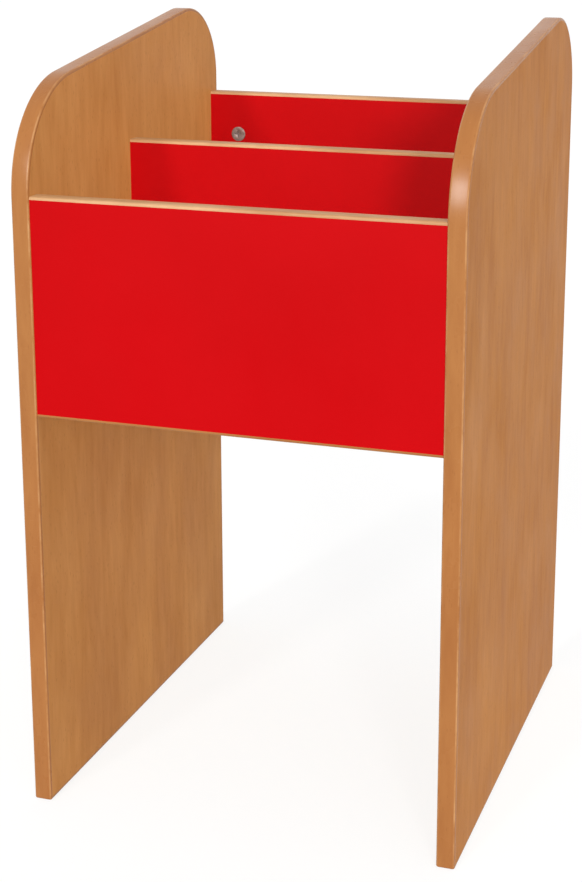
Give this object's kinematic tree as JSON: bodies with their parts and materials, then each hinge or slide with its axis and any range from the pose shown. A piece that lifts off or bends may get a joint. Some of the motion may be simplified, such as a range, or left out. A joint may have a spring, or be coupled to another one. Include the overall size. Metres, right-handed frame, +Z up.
{
  "type": "picture book browser bin",
  "caption": "Free-standing book browser bin: an open-topped box with a middle divider, held high between two shaped panel ends, for showing picture books face on.",
  "frame": {"origin": "centre of the footprint, on the floor", "axes": "+Z up, +Y towards the rear (the higher rear panel), +X to the right for someone who faces the front panel"},
  "size_m": [0.436, 0.47, 0.765],
  "materials": {
    "beech_board": "beech-grain laminate, satin",
    "red_board": "plain red laminate, satin",
    "beech_edging": "beech-coloured edging, semi-gloss",
    "cam_metal": "die-cast zinc, dull brown-grey plating",
    "bolt_steel": "zinc-plated steel",
    "dowel_wood": "bare beech"
  },
  "bodies": {
    "root": {"left_end_board": "beech_board", "left_end_edging": "beech_edging", "left_end_foot_edging": "beech_edging", "right_end_board": "beech_board", "right_end_edging": "beech_edging", "right_end_foot_edging": "beech_edging", "base_board": "beech_board", "base_end_dowels": "dowel_wood", "base_edge_dowels": "dowel_wood", "middle_divider_foot_dowels": "dowel_wood", "front_panel_board": "red_board", "front_panel_top_edging": "beech_edging", "front_panel_lower_edging": "beech_edging", "front_panel_cams": "cam_metal", "front_panel_cam_bolts": "bolt_steel", "front_panel_end_dowels": "dowel_wood", "middle_divider_board": "red_board", "middle_divider_top_edging": "beech_edging", "middle_divider_cams": "cam_metal", "middle_divider_cam_bolts": "bolt_steel", "middle_divider_end_dowels": "dowel_wood", "rear_panel_board": "red_board", "rear_panel_top_edging": "beech_edging", "rear_panel_lower_edging": "beech_edging", "rear_panel_cams": "cam_metal", "rear_panel_cam_bolts": "bolt_steel", "rear_panel_end_dowels": "dowel_wood"}
  },
  "joints": []
}
